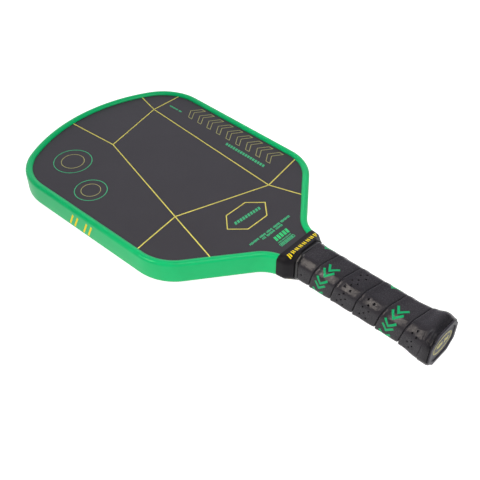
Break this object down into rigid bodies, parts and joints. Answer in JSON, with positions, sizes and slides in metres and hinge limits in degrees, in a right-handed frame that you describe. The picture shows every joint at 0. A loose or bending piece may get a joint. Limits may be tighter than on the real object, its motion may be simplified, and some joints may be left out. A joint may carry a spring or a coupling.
{
  "type": "pickleball paddle",
  "caption": "Wide-headed racket-sport paddle: flat black composite blade in a green edge guard, with a wrapped octagonal handle, throat collar and recessed butt cap.",
  "frame": {"origin": "centre of the badge's outer face at the butt end of the handle", "axes": "+Y from the butt to the top of the head, +Z out of the front face, +X to the right of someone who looks at the front face with the head up"},
  "size_m": [0.1928, 0.4064, 0.0324],
  "materials": {
    "raw_carbon": "matte",
    "guard_green": "satin",
    "polypropylene": "satin",
    "polyester_veil": "matte",
    "rigid_foam": "matte",
    "black_rubber": "satin",
    "grip_black": "satin",
    "tape_black": "satin",
    "adhesive_film": "matte",
    "cap_plastic": "satin",
    "badge_film": "satin",
    "steel_wire": "satin"
  },
  "bodies": {
    "root": {"honeycomb_core": "polypropylene", "rim_foam": "rigid_foam", "core_scrim_front": "polyester_veil", "core_scrim_back": "polyester_veil", "face_sheet_front": "raw_carbon", "face_sheet_back": "raw_carbon", "edge_guard": "guard_green", "handle_core": "rigid_foam", "handle_pallet_front": "rigid_foam", "handle_pallet_back": "rigid_foam", "butt_cap": "cap_plastic", "butt_badge": "badge_film", "cap_staple_right": "steel_wire", "cap_staple_front": "steel_wire", "cap_staple_left": "steel_wire", "cap_staple_back": "steel_wire", "wrap_start_staple": "steel_wire", "grip_adhesive_strip": "adhesive_film", "grip_wrap": "grip_black", "finishing_tape": "tape_black", "collar_ring": "black_rubber"}
  },
  "joints": []
}
